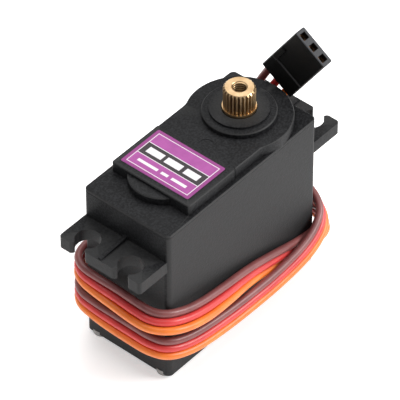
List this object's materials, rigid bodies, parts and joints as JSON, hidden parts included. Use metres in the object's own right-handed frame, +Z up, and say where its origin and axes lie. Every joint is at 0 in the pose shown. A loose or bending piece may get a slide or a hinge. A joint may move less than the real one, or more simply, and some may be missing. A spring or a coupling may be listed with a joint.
{
  "type": "hobby servo motor",
  "caption": "Rectangular geared servo motor with slotted mounting ears, splined output shaft and a three-wire lead wound round the case, ending in a push-on connector.",
  "frame": {"origin": "centre of the body in plan, on the surface that the four screw heads stand on", "axes": "+X along the body towards the output shaft, +Z up along the output shaft, Y across the body"},
  "size_m": [0.055, 0.028, 0.0514],
  "materials": {
    "case_plastic": "fine grained black moulding",
    "label_film": "printed magenta film with plain bars",
    "screw_steel": "dark zinc",
    "bearing_steel": "ground",
    "gear_brass": "cut brass",
    "winding_copper": "enamelled copper",
    "contact_metal": "plated copper",
    "can_steel": "drawn can",
    "magnet": "sintered",
    "board_laminate": "solder mask",
    "chip_plastic": "moulded",
    "grommet_rubber": "moulded",
    "brown_insulation": "soft insulation",
    "red_insulation": "soft insulation",
    "orange_insulation": "soft insulation",
    "connector_plastic": "moulded"
  },
  "bodies": {
    "case": {"bottom_cover": "case_plastic", "middle_case": "case_plastic", "top_cover": "case_plastic", "label": "label_film", "case_screws": "screw_steel", "upper_bearing_outer_race": "bearing_steel", "lower_bearing_outer_race": "bearing_steel", "front_gear_pin": "bearing_steel", "rear_gear_pin": "bearing_steel", "motor_can": "can_steel", "motor_magnets": "magnet", "motor_end_cap": "case_plastic", "motor_brushes": "contact_metal", "motor_terminals": "contact_metal", "motor_bushing": "gear_brass", "motor_screws": "screw_steel", "potentiometer_body": "case_plastic", "potentiometer_legs": "contact_metal", "control_board": "board_laminate", "board_components": "chip_plastic", "cable_grommet": "grommet_rubber", "lead_coil": "red_insulation", "ground_wire": "brown_insulation", "power_wire": "red_insulation", "signal_wire": "orange_insulation", "connector_housing": "connector_plastic", "connector_contacts": "contact_metal"},
    "motor_rotor": {"motor_shaft": "bearing_steel", "armature": "winding_copper", "commutator": "contact_metal", "motor_pinion": "gear_brass"},
    "first_gear_body": {"first_gear": "gear_brass"},
    "second_gear_body": {"second_gear": "gear_brass"},
    "third_gear_body": {"third_gear": "gear_brass"},
    "output": {"output_gear_shaft": "gear_brass", "upper_bearing_inner_race": "bearing_steel", "lower_bearing_inner_race": "bearing_steel", "potentiometer_shaft": "bearing_steel"}
  },
  "joints": [
    {"name": "motor_spin", "type": "hinge", "parent": "case", "child": "motor_rotor", "pos_m": [-0.0099, 0.0004, 0.03], "axis": [0, 0, 1], "range_deg": [-9450, 9450]},
    {"name": "first_gear_spin", "type": "hinge", "parent": "case", "child": "first_gear_body", "pos_m": [-0.00031, 0, 0.03], "axis": [0, 0, 1], "range_deg": [-2181.86, 2181.86]},
    {"name": "second_gear_spin", "type": "hinge", "parent": "case", "child": "second_gear_body", "pos_m": [-0.0099, 0.0004, 0.03], "axis": [0, 0, 1], "range_deg": [-727.29, 727.29]},
    {"name": "third_gear_spin", "type": "hinge", "parent": "case", "child": "third_gear_body", "pos_m": [-0.00031, 0, 0.03], "axis": [0, 0, 1], "range_deg": [-270.13, 270.13]},
    {"name": "output_turn", "type": "hinge", "parent": "case", "child": "output", "pos_m": [0.01049, 0, 0.03], "axis": [0, 0, 1], "range_deg": [-90.05, 90.05]}
  ],
  "couplings": [
    {"joint": "first_gear_spin", "follows": "motor_spin", "ratio": -0.23077},
    {"joint": "second_gear_spin", "follows": "motor_spin", "ratio": 0.076923},
    {"joint": "third_gear_spin", "follows": "motor_spin", "ratio": -0.028571},
    {"joint": "output_turn", "follows": "motor_spin", "ratio": 0.0095238}
  ]
}
